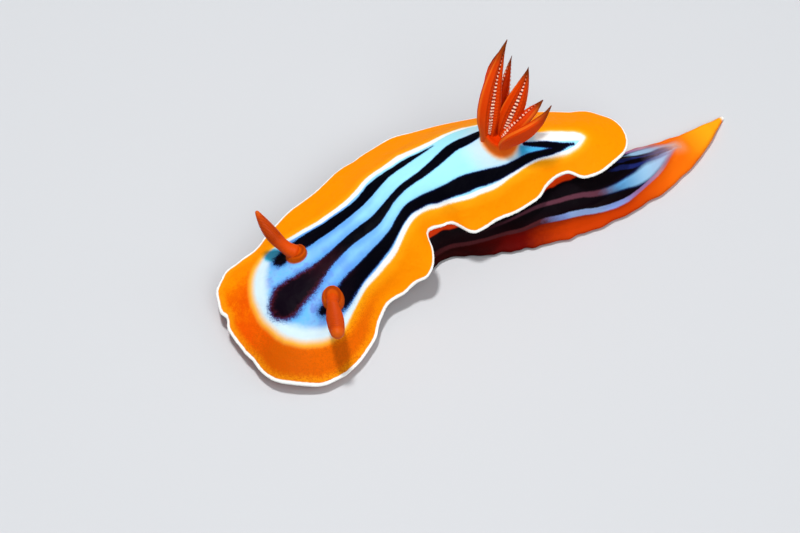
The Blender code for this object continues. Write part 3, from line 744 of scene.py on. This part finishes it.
def make_skin():
    piece = joined_skin()
    mesh = piece.data
    points = relax(mesh, read_points(mesh), SMOOTHING_ROUNDS)
    points[:, 2] = np.maximum(points[:, 2], 0)
    write_points(mesh, points)
    on_mantle, rim = markings(mesh, points)
    points = relief(mesh, points, on_mantle, rim)
    write_points(mesh, points * MM)
    mesh.shade_smooth()
    mesh.materials.clear()
    mesh.materials.append(skin_material())
    covered = [name for name in frame["nodes"] if name.startswith(COVERED)]
    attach(piece, "root")
    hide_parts(*covered)
    return piece


def linear(screen_values):
    """The linear colour of screen values from 0 to 255."""
    values = [c / 255 for c in screen_values]
    return tuple(c / 12.92 if c <= 0.04045 else ((c + 0.055) / 1.055) ** 2.4 for c in values) + (1.0,)


def operator(operation):
    """A sum between two values, as a node."""
    return lambda value, other: value.graph.math(operation, value, other)


class Value:
    """A number or a colour of a material."""
    __add__ = operator("ADD")
    __sub__ = operator("SUBTRACT")
    __mul__ = operator("MULTIPLY")
    __truediv__ = operator("DIVIDE")
    __pow__ = operator("POWER")

    def __init__(self, graph, socket):
        self.graph = graph
        self.socket = socket

    def __rsub__(self, other):
        return self.graph.math("SUBTRACT", other, self)

    def shift(self, *textures):
        """This number moved up and down by textures, each followed by its amount."""
        moved = self
        for texture, amount in zip(textures[::2], textures[1::2]):
            moved = moved + (texture - 0.5) * amount
        return moved

    def step(self, low, high):
        """Rises smoothly from 0 at low to 1 at high, or falls if high is the lower."""
        ends = (1.0, 0.0) if high < low else (0.0, 1.0)
        inputs = {"Value": self, "From Min": min(low, high), "From Max": max(low, high),
                  "To Min": ends[0], "To Max": ends[1]}
        return self.graph.node("MapRange", "Result", inputs, interpolation_type="SMOOTHSTEP")

    def paint(self, *layers):
        """This colour with others laid over it, each followed by its share."""
        painted = self
        for tint, share in zip(layers[::2], layers[1::2]):
            painted = self.graph.mix(share, painted, tint)
        return painted


class Graph:
    """The shader nodes of one material."""

    def __init__(self, name):
        self.material = bpy.data.materials.new(name)
        self.material.use_nodes = True
        self.tree = self.material.node_tree
        self.shader = self.tree.nodes["Principled BSDF"]
        self.position = self.node("TexCoord", "Object", {})

    def feed(self, socket, value):
        """Sets an input to another node's output, a number, or a tuple of a colour's screen values."""
        if isinstance(value, Value):
            self.tree.links.new(value.socket, socket)
        else:
            socket.default_value = linear(value) if isinstance(value, tuple) else value

    def node(self, kind, output, inputs, **settings):
        """An output of a new node."""
        node = self.tree.nodes.new("ShaderNode" + kind)
        for name, value in settings.items():
            setattr(node, name, value)
        for name, value in inputs.items():
            self.feed(node.inputs[name], value)
        return Value(self, node.outputs[output])

    def set(self, **values):
        for name, value in values.items():
            self.feed(self.shader.inputs[name.replace("_", " ")], value)

    def attribute(self, name):
        return self.node("Attribute", "Fac", {}, attribute_name=name)

    def math(self, operation, a, b):
        return self.node("Math", 0, {0: a, 1: b}, operation=operation)

    def mix(self, share, a, b):
        return self.node("Mix", 2, {"Factor": share, 6: a, 7: b}, data_type="RGBA")

    def noise(self, scale, detail=2.0, roughness=0.5):
        """Noise whose grain is about 1 / scale millimetres."""
        return self.node("TexNoise", "Fac", {"Vector": self.position, "Scale": scale / MM, "Detail": detail,
                                             "Roughness": roughness})

    def bump(self, height, distance, strength):
        self.set(Normal=self.node("Bump", "Normal", {"Distance": distance * MM, "Strength": strength,
                                                     "Height": height}))


# Colours, by their screen values
ORANGE = (255, 146, 0)
GOLD = (255, 164, 12)
GOLDEN_CREAM = (255, 188, 68)
DEEP_ORANGE = (242, 88, 0)
UNDER_ORANGE = (236, 62, 6)
TAIL_ORANGE = (250, 112, 8)
WHITE = (255, 255, 250)
MILK = (214, 238, 248)
GILL_MILK = (198, 228, 238)
PALE_BLUE = (164, 236, 248)
SKY = (128, 192, 246)
PERIWINKLE = (92, 156, 236)
CYAN = (58, 168, 218)
MAROON = (66, 20, 32)
NAVY = (24, 34, 88)
VIOLET = (66, 62, 122)
INK = (14, 5, 16)
BLACK = (2, 2, 9)
FEELER = (212, 62, 2)
SHEATH = (206, 80, 4)
# Painted shade for the crease round the foot of each feeler
CREASE_SHADE = (140, 44, 4)
GILL = (216, 56, 1)


def skin_material():
    g = Graph("nudibranch_skin")
    fine = g.noise(9, 3, 0.6)
    grain = g.noise(3.2, 3, 0.6)
    broad = g.noise(0.45)
    speckle = g.noise(13, 2, 0.7)
    s, u, rim, border, stripe, gill, sheath, lift = [
        g.attribute(name) for name in ("s", "u", "rim", "border", "stripe", "gill", "sheath", "lift")]
    at_head = s.step(11.5, 6.5)

    # Centre of the back: pale blue, bluer at the head and beside the stripes, milky round the gills,
    # with a blue wedge between the two stripes behind them
    hue = g.noise(0.9).shift(grain, 0.5)
    wedge = s.step(27.2, 28) * s.step(30.4, 29.8)
    ground = g.mix(s.shift(broad, 5).step(19, 9.5), PALE_BLUE, SKY).paint(
        PERIWINKLE, stripe.shift(broad, 0.8, grain, 0.3).step(0.85, 0.05) * s.step(19, 9),
        (92, 190, 240), hue.step(0.5, 0.72) * (at_head * 0.55),
        (110, 118, 214), hue.step(0.5, 0.3) * (at_head * 0.5),
        GILL_MILK, gill.shift(grain, 0.5).step(4, 1.9),
        WHITE, s.step(28.9, 29.5) * u.step(-0.75, -0.55),
        CYAN, wedge * u.step(-0.65, -0.95))

    # White line inside the orange band, which widens to a crescent round the head and ends in a blue
    # patch beside the far feeler
    line = g.attribute("white").shift(grain, 0.25)
    sharp = s.step(7, 10)
    patch = ((s - 6.8) ** 2 + (u - 4.45) ** 2) ** 0.5
    line_share = line.step(1.35, 0.55) * (1 - sharp) + line.step(1.15, 0.8) * sharp
    ground = ground.paint(
        g.mix(s.step(7, 13), MILK, WHITE), line_share,
        (72, 190, 230), patch.shift(grain, 0.3).step(0.95, 0.5))

    # Black stripes: speckled and maroon at the head, with crisp navy edges behind it
    soft = stripe.shift(grain, 0.3, fine, 0.55, speckle, 0.6)
    crisp = stripe.shift(grain, 0.07, fine, 0.06)
    edge = soft * at_head + crisp * (1 - at_head)
    # The same steps are narrower behind the head
    edge = edge / (at_head * 0.6 + 0.4) - at_head * 0.1
    deep = stripe.shift(broad, 0.6, grain, 0.8, speckle, 0.5)
    maroon = at_head * (u.step(2, 1.5) * u.step(-2, -1.5))
    fringe = g.math("MAXIMUM", edge.step(0.35, -0.15) * (at_head * 0.75), edge.step(0.16, -0.05))
    ground = ground.paint(
        (92, 168, 236), edge.step(0.5, 0) * 0.45,
        g.mix(maroon, NAVY, VIOLET), fringe,
        g.mix(maroon, BLACK, MAROON), edge.step(0.04, -0.2),
        INK, deep.step(0.05, -0.4) * at_head)

    # Orange band, deeper and mottled at the head, golden towards the rim and the white line
    front = s.step(9, 3) * u.step(6.5, 2)
    inner_band = border.step(-0.05, -0.7) * rim.step(0.25, 0.9)
    deepness = ((broad - 0.5) * 1.3 + 0.62).shift(grain, 0.7, fine, 0.7)
    from_rim = rim.shift(grain, 0.4)
    left_front = s.shift(grain, 1.5).step(15.5, 7) * u.step(-1.5, -3.5) * from_rim.step(0.15, 1)
    # The front of the band is a deeper orange; towards the left side its darker tone is partly painted shade
    # below the left feeler
    nose = s.shift(grain, 1.2).step(4.8, 1.2) * u.step(3.5, 0)
    mottle = speckle.shift(fine, 1, grain, 0.6).step(0.44, 0.64)
    mottled = s.step(14.5, 5) * (u.step(1.2, -1.8) * 0.55 + 0.15)
    # Its inner border is soft at the head and sharper behind it
    softness = s.step(9, 4.5) * 0.24 + s.step(28.8, 31) * 0.08 + 0.06
    to_border = border.shift(fine, 0.1, speckle, 0.1) / softness
    band = g.mix(border.shift(grain, 0.3).step(-0.75, -0.1), ORANGE, GOLD).paint(
        DEEP_ORANGE, front * inner_band * deepness.step(0.1, 0.8),
        (230, 100, 0), left_front * border.step(-0.1, -0.9),
        g.mix(u.step(-0.4, -2.6), (242, 84, 2), (202, 80, 2)), nose * 0.75,
        (240, 150, 14), from_rim.step(0.9, 0.2) * s.step(11, 5) * 0.7,
        (200, 90, 4), mottle * mottled,
        DEEP_ORANGE, grain.step(0.58, 0.75) * 0.16,
        GOLDEN_CREAM, to_border.step(-2.2, -0.7) * 0.85)

    # Sheaths and the foot of the gills are orange, with painted shade in the crease round the foot of each
    # feeler, and the rim is a white line
    crease_shade = sheath.step(0.72, 0.58) * sheath.step(0.3, 0.52)
    rim_width = 0.2 - s.step(9, 17) * 0.05
    top = band.paint(
        ground, to_border.step(-1.2, 0.9),
        g.mix(crease_shade * 0.7, SHEATH, CREASE_SHADE), sheath.step(SHEATH_RADIUS + 0.08, SHEATH_RADIUS),
        (236, 168, 104), gill.shift(grain, 0.12).step(1.75, 1.42),
        (226, 100, 22), gill.step(1.55, 1.36),
        GILL, gill.step(1.38, 1.1),
        WHITE, (rim.shift(grain, 0.08) / rim_width).step(1.2, 0.8))
    edge_white = rim.step(0.2, 0.08) * lift.step(-0.2, -0.05)
    mantle = g.mix(edge_white, UNDER_ORANGE, WHITE).paint(top, lift.step(-0.12, 0))

    wall = trunk_colours(g, s, u, grain, fine)
    g.set(Base_Color=wall.paint(mantle, g.attribute("mantle")), Roughness=0.5, IOR=1.33,
          Specular_IOR_Level=0.05)
    g.bump(fine + grain * 1.5, 0.02, 0.4)
    return g.material


def trunk_colours(g, s, u, grain, fine):
    """Colours of the flank, foot and tail."""
    def wavy(name, amount=0.1):
        return g.attribute(name).shift(grain, amount, fine, amount * 0.8)

    girth = g.attribute("girth")
    near_s = s.shift(grain, 1)
    wall = g.mix(girth.step(0.2, 0.5), (24, 4, 8), (9, 3, 8)).paint(
        (206, 78, 20), s.shift(grain, 0.8).step(4, 2.6))
    # The upper line is maroon on the flank and opens into a pale blue streak on the tail
    maroon_line = g.mix(s.step(22, 30), (46, 16, 24), (92, 50, 64))
    blue_line = g.mix(s.step(35, 38.5), (84, 160, 216), (160, 204, 236))
    to_blue = near_s.step(33.6, 36.2)
    # Its edges, and those of the black beside it, melt towards the end of the pattern
    melting = s.step(35.5, 39.5)
    high = (wavy("high_line") + melting * 0.14) / (melting * 1.6 + 1)
    high_shown = s.step(19, 27)
    sheen = wavy("sheen_line").step(0.12, -0.03) * s.step(34.6, 35.6)
    wall = wall.paint(
        g.mix(to_blue, wall, NAVY), high.step(0.26, 0) * high_shown,
        g.mix(to_blue, maroon_line, blue_line), high.step(0.14, -0.1) * high_shown,
        (34, 48, 124), sheen * 0.6,
        (176, 150, 180), near_s.step(37.6, 40.4) * 0.45)
    # The margin of the foot is orange, lighter towards the edge; forward of the tail it is painted darker,
    # down to dark red, as painted shadow under the mantle
    margin = wavy("margin", 0.16)
    margin_shadow = g.mix(s.step(19, 29), (38, 4, 4), (104, 6, 2))
    inner_orange = g.mix(s.step(35, 39), (150, 38, 2), (222, 80, 12))
    outer_orange = g.mix(s.step(35.5, 42), (198, 58, 2), TAIL_ORANGE)
    margin_bright = g.mix(margin.step(0.15, 0.75), inner_orange, outer_orange)
    # On the far side, which the photo doesn't show, the bright margin reaches further forward
    far_side = u.step(-1.5, 0.5) * 9
    foot = g.mix((s.shift(grain, 1.2) + far_side).step(26.5, 31.5), margin_shadow, margin_bright)
    # The lower line is dull at the front and lilac from the flank's rear on
    lilac = g.mix(near_s.step(28.6, 30.8), (82, 34, 38), (136, 160, 226)).paint(
        (158, 188, 240), s.step(30.5, 31.5) * s.step(35, 33.5),
        (150, 110, 158), s.step(35, 37),
        (196, 140, 150), s.step(37.5, 39.5))
    low_shown = s.step(15, 20) * s.step(40.4, 38.6)
    # The end of the tail is orange, golden along its middle, with a pale mist where the pattern ends
    middle = girth.shift(grain, 0.25).step(0.15, 0.75)
    crest = girth.shift(grain, 0.2).step(0.4, 0.95) * u.step(-1.7, -0.8)
    end = g.mix(middle * s.step(41, 45), TAIL_ORANGE, (255, 166, 20)).paint(
        (240, 196, 150), s.shift(grain, 0.8).step(42.6, 40.6) * crest * 0.65,
        WHITE, s.step(46.3, 46.7))
    return wall.paint(
        foot, (margin / (melting * 2 + 1)).step(-0.02, 0.1),
        lilac, wavy("low_line").step(0.13, -0.06) * low_shown,
        end, s.shift(grain, 0.8, girth, -1.2).step(39.2, 41.6))


def make_rhinophore(side, base, lean):
    name = "rhinophore_" + side
    s0, u0 = base
    foot = place(s0, u0, mantle_top(s0, u0)[1] + GAP * 1.4)
    direction = unit(np.array(lean))
    up = np.array((0, 0, 1.0))
    tip = foot + direction * FEELER_LENGTHS[side] + FEELER_TIPS[side]
    if side == "right":
        bend = foot + direction * (1, 1, 0) * 2.1 + up * 0.6
    else:
        foot = foot - up * 0.3
        bend = foot + up * 0.55
    bend = bend + FEELER_BENDS[side]
    t = np.linspace(FEELER_SHARES[0], 1, FEELER_STEPS)
    path = (foot * ((1 - t) ** 2)[:, None] + bend * (2 * t * (1 - t))[:, None] + tip * (t * t)[:, None])
    profile = curve(FEELER_SHARES, FEELER_RADII[side])
    phase = (t[:, None] - 0.42) / 0.5 * FEELER_LAMELLAE + 1.2 * np.cos(round_angles(ROUND_SIDES))[None]
    share = smooth_step(t, *FEELER_CLUB[:2]) * smooth_step(t, FEELER_CLUB[3], FEELER_CLUB[2])
    wave = np.abs((phase % 1.0) * 2 - 1) ** 0.7
    radii = profile(t)[:, None] * (1 - 0.12 * share[:, None] * wave)
    mesh = loft_mesh(name, tube_rings(path, radii, ROUND_SIDES) * MM)
    store(mesh, {"along": np.append(np.repeat(t, ROUND_SIDES), (0, 1)),
                 "groove": np.append((share[:, None] * wave).ravel(), (0, 0))})
    return finish_piece(name, mesh, feeler_material())


def finish_piece(name, mesh, material):
    weld(mesh, 1e-9)
    mesh.shade_smooth()
    mesh.materials.append(material)
    piece = add_piece("dressed_" + name, mesh)
    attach(piece, "root")
    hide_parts(name)
    return piece


@functools.cache
def feeler_material():
    g = Graph("nudibranch_feeler")
    fine = g.noise(10)
    # The grooves between the lamellae are darkened as painted shade
    shade = g.mix(g.attribute("groove") * 0.75, FEELER, (140, 34, 6)).paint(
        (206, 84, 14), g.attribute("along").step(0.92, 1),
        (240, 120, 20), fine * 0.3)
    g.set(Base_Color=shade, Roughness=0.45, IOR=1.34, Specular_IOR_Level=0.15)
    g.bump(fine, 0.015, 0.5)
    return g.material


def view_step(right, away, up=0.0):
    return np.array((AWAY[1] * right + AWAY[0] * away, -AWAY[0] * right + AWAY[1] * away, up))


def make_leaf(number, root_angle, root_share, tip, bow, half, facing):
    """A lance-shaped gill leaf, whose hollow side carries rows of lamellae."""
    name = f"gill_leaf_{number}"
    middle = place(GILL_S, GILL_U, mantle_top(GILL_S, GILL_U)[1] + GAP)
    angle = math.radians(root_angle)
    start = GILL_RING * root_share
    root = middle + view_step(start * math.cos(angle), start * math.sin(angle), -LEAF_SINK)
    end = middle + view_step(*tip)
    length = np.linalg.norm(end - root)
    rise = root + view_step(0, 0, 0.22 * length)
    bulge = root + (end - root) * 0.6 + view_step(*bow) * 1.8
    towards = view_step(math.cos(math.radians(facing)), math.sin(math.radians(facing)))
    t = np.linspace(0, 1, LEAF_RINGS)
    v = 1 - t
    path = (root * (v ** 3)[:, None] + rise * (3 * v * v * t)[:, None]
            + bulge * (3 * v * t * t)[:, None] + end * (t ** 3)[:, None])
    along = unit(np.gradient(path, axis=0))
    inward = unit(towards - along * (along @ towards)[:, None])
    across = np.cross(along, inward)
    width = half * np.sin(math.pi * t ** LEAF_BELLY) ** 1.15
    narrow = min(half, LEAF_ROOT)
    width = np.where(t < 0.4, np.maximum(width, narrow + (half - narrow) * smooth_step(t, 0.02, 0.4)), width)
    depth = LEAF_THICKNESS / 2 * np.minimum(1, 4.2 - 4 * t)
    cheek = depth + 0.3 * width
    lamellae = max(5, round(length / BEAD_PITCH))
    phase = (t - 0.1) / 0.84 * lamellae
    present = smooth_step(t, 0.09, 0.13) * smooth_step(t, 0.97, 0.88)
    pulse = smooth_step(np.abs((phase % 1.0) * 2 - 1), 0.75, 0.3) * present
    fringed = number in FRINGED_LEAVES
    row = min(0.4, BEAD_ROW / half)
    row_share = (1.25 - 0.75 * t)[:, None]
    # Section of the leaf, round its hollow front and back along its rounded rear: shares of the width
    hollow = (-1.0, -0.85, -0.6, -1.5 * row, -row, 0.0, row, 1.5 * row, 0.6, 0.85, 1.0)
    rear = np.array((0.85, 0.55, 0.25, 0.0, -0.25, -0.55, -0.85))
    k = np.concatenate([hollow, rear])
    front = (0.1 * width, cheek * 0.55, cheek, cheek * 0.85)
    groove = depth * 0.6 + (cheek * 0.92 - depth * 0.6) * (pulse * (not fringed))
    behind = [-depth * (1.15 - 0.45 * share * share) for share in rear]
    lift = np.stack([*front, groove, groove, groove, *front[::-1], *behind], 1)
    dense = np.linspace(0, len(k), 91)[:-1]
    side_share = curve(range(len(k) + 1), np.append(k, k[0]))(dense)
    lift_closed = np.concatenate([lift, lift[:, :1]], 1)
    lift_dense = curve(range(len(k) + 1), lift_closed.T)(dense).T
    on_front = dense < len(hollow) - 0.5
    if fringed:
        width = width * (1 + 0.16 * pulse)
    rings = path[:, None] + across[:, None] * (width[:, None] * side_share)[..., None]
    rings = rings + inward[:, None] * lift_dense[..., None]
    mesh = loft_mesh(name, rings * MM)
    beaded = smooth_step(np.abs(side_share) / row_share, 1.45 * row, 0.95 * row) * on_front
    if fringed:
        beaded = smooth_step(np.abs(side_share), 0.55, 0.8)
    # deep marks the sunken places between the lamellae, which the material darkens as painted shade
    values = {"bead": pulse[:, None] * beaded, "deep": (1 - pulse)[:, None] * beaded,
              "along": np.repeat(t[:, None], len(dense), 1),
              "across": np.where(on_front, np.abs(side_share), 1.5)[None] * np.ones((len(t), 1))}
    store(mesh, {label: np.append(value.ravel(), (0, label == "along")) for label, value in values.items()})
    return finish_piece(name, mesh, gill_material())


@functools.cache
def gill_material():
    g = Graph("nudibranch_gill")
    fine = g.noise(7, 3)
    grain = g.noise(2, 3)
    broken = g.noise(9, 2, 0.7).step(0.36, 0.56)
    across = g.attribute("across")
    along = g.attribute("along")
    vein = across.step(0.42, 0.5) * across.step(0.62, 0.54)
    thin_edge = across.step(0.86, 0.98) * across.step(1.3, 1.1)
    # The sunken places between the lamellae are darkened as painted shade
    shade = g.mix(fine * 0.35, GILL, (230, 88, 8)).paint(
        (222, 78, 6), along.shift(grain, 0.4).step(0.45, 0),
        (150, 34, 2), vein * 0.4,
        (248, 130, 36), thin_edge * 0.45,
        (150, 34, 4), g.attribute("deep") * 0.4,
        (116, 50, 6), along.shift(grain, 0.1).step(0.72, 0.98),
        (255, 228, 200), g.attribute("bead").step(0.3, 0.8) * along.step(0.93, 0.7) * broken)
    g.set(Base_Color=shade, Roughness=0.45, IOR=1.34, Specular_IOR_Level=0.1)
    g.bump(fine, 0.015, 0.5)
    return g.material


def photo_axes():
    """The camera's backward, rightward and upward directions before it tilts."""
    def world(x, y, z):
        return Vector((x * math.cos(PHOTO_TURN) - y * math.sin(PHOTO_TURN),
                       x * math.sin(PHOTO_TURN) + y * math.cos(PHOTO_TURN), z))
    back = world(0, -math.cos(PHOTO_ELEVATION), math.sin(PHOTO_ELEVATION))
    right = world(1, 0, 0)
    up = world(0, math.sin(PHOTO_ELEVATION), math.cos(PHOTO_ELEVATION))
    return back, right, up


def make_camera():
    back, right, up = photo_axes()
    target = Vector(TARGET)
    location = target + back * CAMERA_DISTANCE
    aside = (TARGET_PIXEL[0] - PHOTO_SIZE[0] / 2) / PIXELS_PER_MM * MM
    above = (PHOTO_SIZE[1] / 2 - TARGET_PIXEL[1]) / PIXELS_PER_MM * MM
    aim = target - right * aside - up * above
    z = (location - aim).normalized()
    x = up.cross(z).normalized()
    y = z.cross(x)
    data = bpy.data.cameras.new("camera")
    data.lens = CAMERA_LENS
    data.sensor_width = 36
    data.clip_start = 0.01
    camera = add_piece("camera", data)
    camera.matrix_world = Matrix.Translation(location) @ Matrix((x, y, z)).transposed().to_4x4()
    bpy.context.scene.camera = camera


def make_light(name, direction, distance, size, power):
    data = bpy.data.lights.new(name, "AREA")
    data.shape = "DISK"
    data.size = size
    data.energy = power
    light = add_piece(name, data)
    light.location = direction.normalized() * distance
    light.rotation_euler = direction.to_track_quat("Z", "Y").to_euler()


def make_stage():
    mesh = bpy.data.meshes.new("floor")
    bm = bmesh.new()
    bmesh.ops.create_grid(bm, x_segments=1, y_segments=1, size=0.6)
    bm.to_mesh(mesh)
    bm.free()
    floor = add_piece("floor", mesh)
    floor.location.z = -FLOOR_DROP
    g = Graph("pale_floor")
    # A list, so that it is taken as a linear colour
    g.set(Base_Color=[0.62, 0.63, 0.65, 1], Roughness=0.7)
    mesh.materials.append(g.material)
    back, right, up = photo_axes()
    make_light("key", Vector((0, 0, 1.0)) - back * 0.1 - right * 0.12, 0.3, 0.035, 0.62)
    make_light("fill", back + right * 0.25, 0.4, 0.3, 0.54)
    make_light("side", right + Vector((0, 0, 0.6)), 0.35, 0.2, 0.12)
    world = bpy.data.worlds.new("studio")
    bpy.context.scene.world = world
    world.use_nodes = True
    background = world.node_tree.nodes["Background"]
    background.inputs["Color"].default_value = (0.9, 0.95, 1.0, 1)
    background.inputs["Strength"].default_value = 0.25
    bpy.context.scene.view_settings.view_transform = "Standard"


make_skin()
for rhinophore in RHINOPHORES:
    make_rhinophore(*rhinophore)
for leaf_number, leaf in enumerate(LEAVES, 1):
    make_leaf(leaf_number, *leaf)
make_stage()
make_camera()
